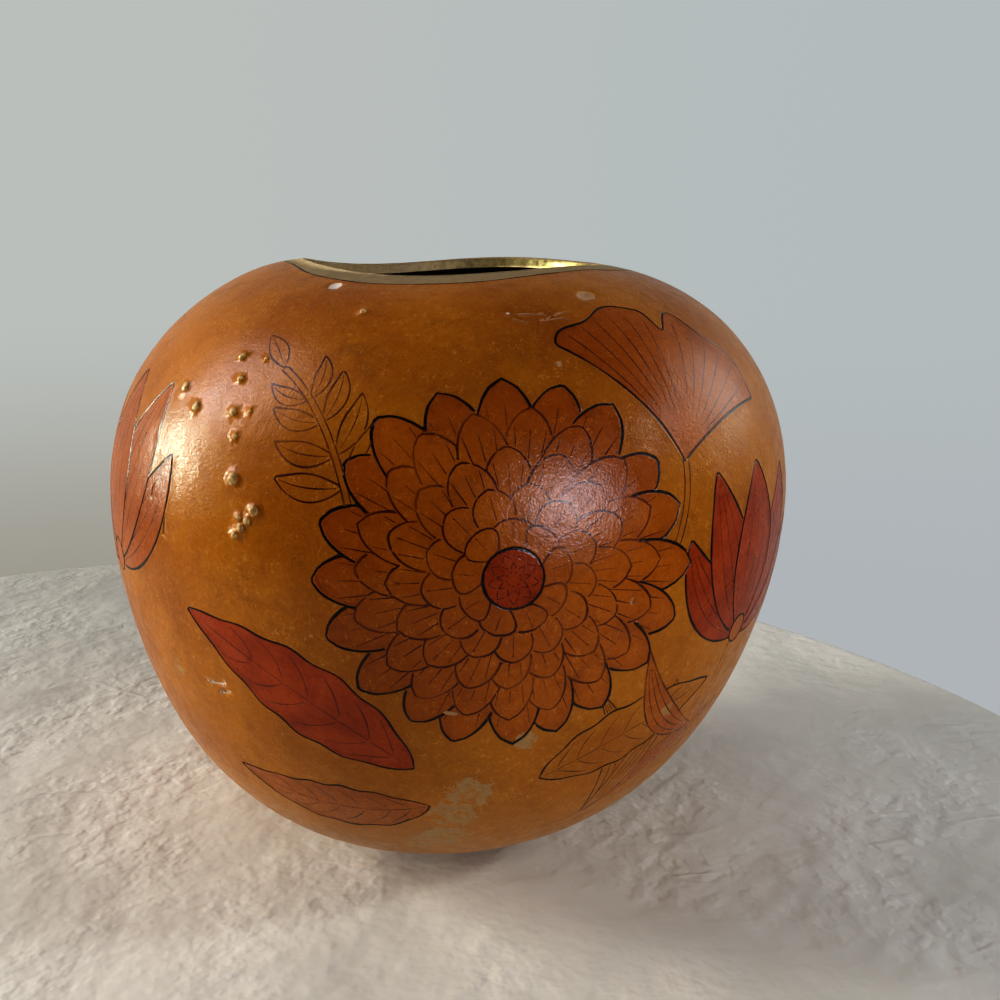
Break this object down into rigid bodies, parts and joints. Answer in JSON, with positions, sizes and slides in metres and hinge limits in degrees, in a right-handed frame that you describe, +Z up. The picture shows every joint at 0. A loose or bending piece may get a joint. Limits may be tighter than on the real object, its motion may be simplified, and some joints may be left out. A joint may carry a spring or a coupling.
{
  "type": "painted gourd",
  "caption": "Hollow dried gourd vessel with its top cut away, a lacquered orange-brown skin with outlined tinted flowers and a gold rim, standing on a small flat base.",
  "frame": {"origin": "middle of the bounding box, on the flat base that the gourd stands on", "axes": "+Z up through the mouth, -Y towards the front with the main decoration, +X to the right of it"},
  "size_m": [0.19, 0.1898, 0.1661],
  "materials": {
    "lacquered_shell": "glossy amber-brown lacquer over dried gourd skin, with burnt outlines, red and orange tints and a gold rim"
  },
  "bodies": {
    "root": {"gourd_shell": "lacquered_shell"}
  },
  "joints": []
}
